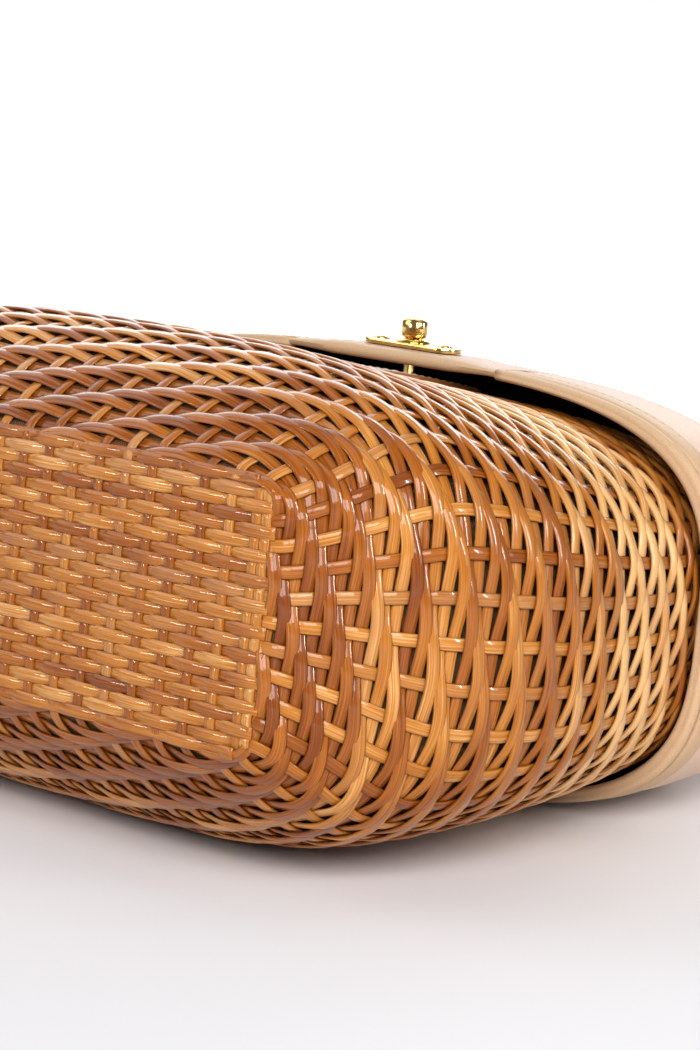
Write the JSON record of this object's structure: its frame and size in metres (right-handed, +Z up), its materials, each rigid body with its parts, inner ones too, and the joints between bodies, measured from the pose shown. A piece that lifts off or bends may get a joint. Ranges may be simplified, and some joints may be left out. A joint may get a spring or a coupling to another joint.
{
  "type": "basket shoulder bag",
  "caption": "Bag with a bulging woven rattan basket, a domed leather lid closed by a turn lock, and a leather shoulder strap, lying on its back.",
  "frame": {"origin": "middle of the bag and its strap, on the table that it lies on", "axes": "+X across the width towards the end that the picture shows, +Y from the base to the lid, +Z up out of the bag's front"},
  "size_m": [0.2618, 0.3528, 0.1247],
  "materials": {
    "rattan": "varnished",
    "dark_cloth": "matt",
    "beige_leather": "smooth",
    "brown_leather": "smooth",
    "gold": "polished"
  },
  "bodies": {
    "bag": {"basket_body": "rattan", "lining": "dark_cloth", "lid_shell": "beige_leather", "lid_binding": "beige_leather", "front_panel": "beige_leather", "lock_tab": "brown_leather", "lock_post": "gold", "lock_plate": "gold", "strap": "beige_leather", "strap_rivet_right_1": "gold", "strap_rivet_right_2": "gold", "strap_rivet_left_1": "gold", "strap_rivet_left_2": "gold"},
    "knob": {"lock_knob": "gold"}
  },
  "joints": [
    {"name": "knob_turn", "type": "hinge", "parent": "bag", "child": "knob", "pos_m": [0, -0.02537, 0.11206], "axis": [0, 0.0958, 0.9954], "range_deg": [0, 90]}
  ]
}
